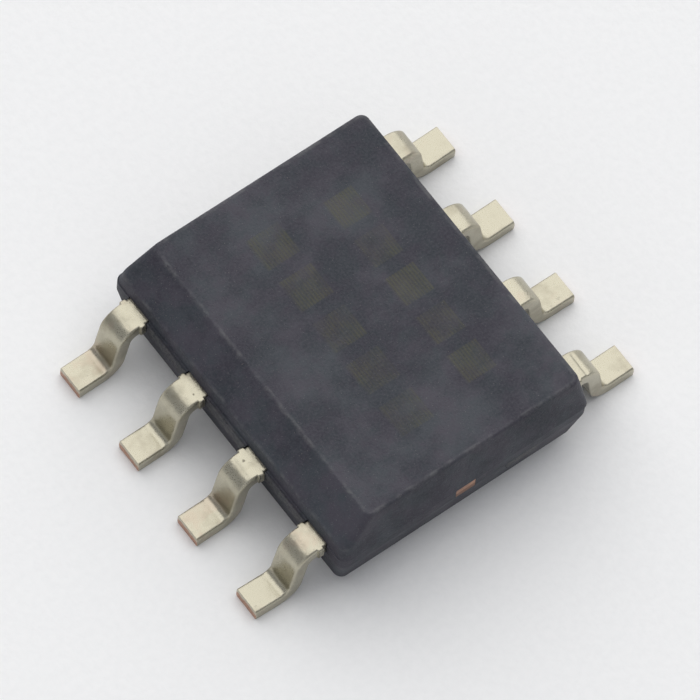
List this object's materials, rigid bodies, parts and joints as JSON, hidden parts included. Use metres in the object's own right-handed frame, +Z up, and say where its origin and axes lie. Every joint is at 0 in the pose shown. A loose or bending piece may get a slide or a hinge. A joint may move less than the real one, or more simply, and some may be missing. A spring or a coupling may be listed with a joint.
{
  "type": "soic chip",
  "caption": "Small-outline integrated circuit: black moulded body with a bevelled edge and gull-wing leads in two rows, soldered flat to a board.",
  "frame": {"origin": "on the seating plane (the undersides of the feet), under the middle of the body", "axes": "+X across the two rows of leads, from the bevelled lead 1 side to the other; +Y along the body, towards the lead 1 end; +Z up out of the board"},
  "size_m": [0.006, 0.005, 0.0016],
  "materials": {
    "mould_resin": "black silica-filled epoxy moulding resin, matt as left by a spark-eroded mould",
    "tinned_lead": "copper-alloy strip under satin tin plating, bare copper at the sheared toes",
    "frame_copper": "rolled copper alloy of the lead frame, bare where the tie bars were cut",
    "silver_glue": "cured silver-filled epoxy",
    "silicon": "polished silicon",
    "gold_wire": "drawn gold wire"
  },
  "bodies": {
    "root": {"mould_body": "mould_resin", "lead_1": "tinned_lead", "lead_2": "tinned_lead", "lead_3": "tinned_lead", "lead_4": "tinned_lead", "lead_5": "tinned_lead", "lead_6": "tinned_lead", "lead_7": "tinned_lead", "lead_8": "tinned_lead", "die_paddle": "frame_copper", "die_attach": "silver_glue", "silicon_die": "silicon", "bond_wire_1": "gold_wire", "bond_wire_2": "gold_wire", "bond_wire_3": "gold_wire", "bond_wire_4": "gold_wire", "bond_wire_5": "gold_wire", "bond_wire_6": "gold_wire", "bond_wire_7": "gold_wire", "bond_wire_8": "gold_wire"}
  },
  "joints": []
}
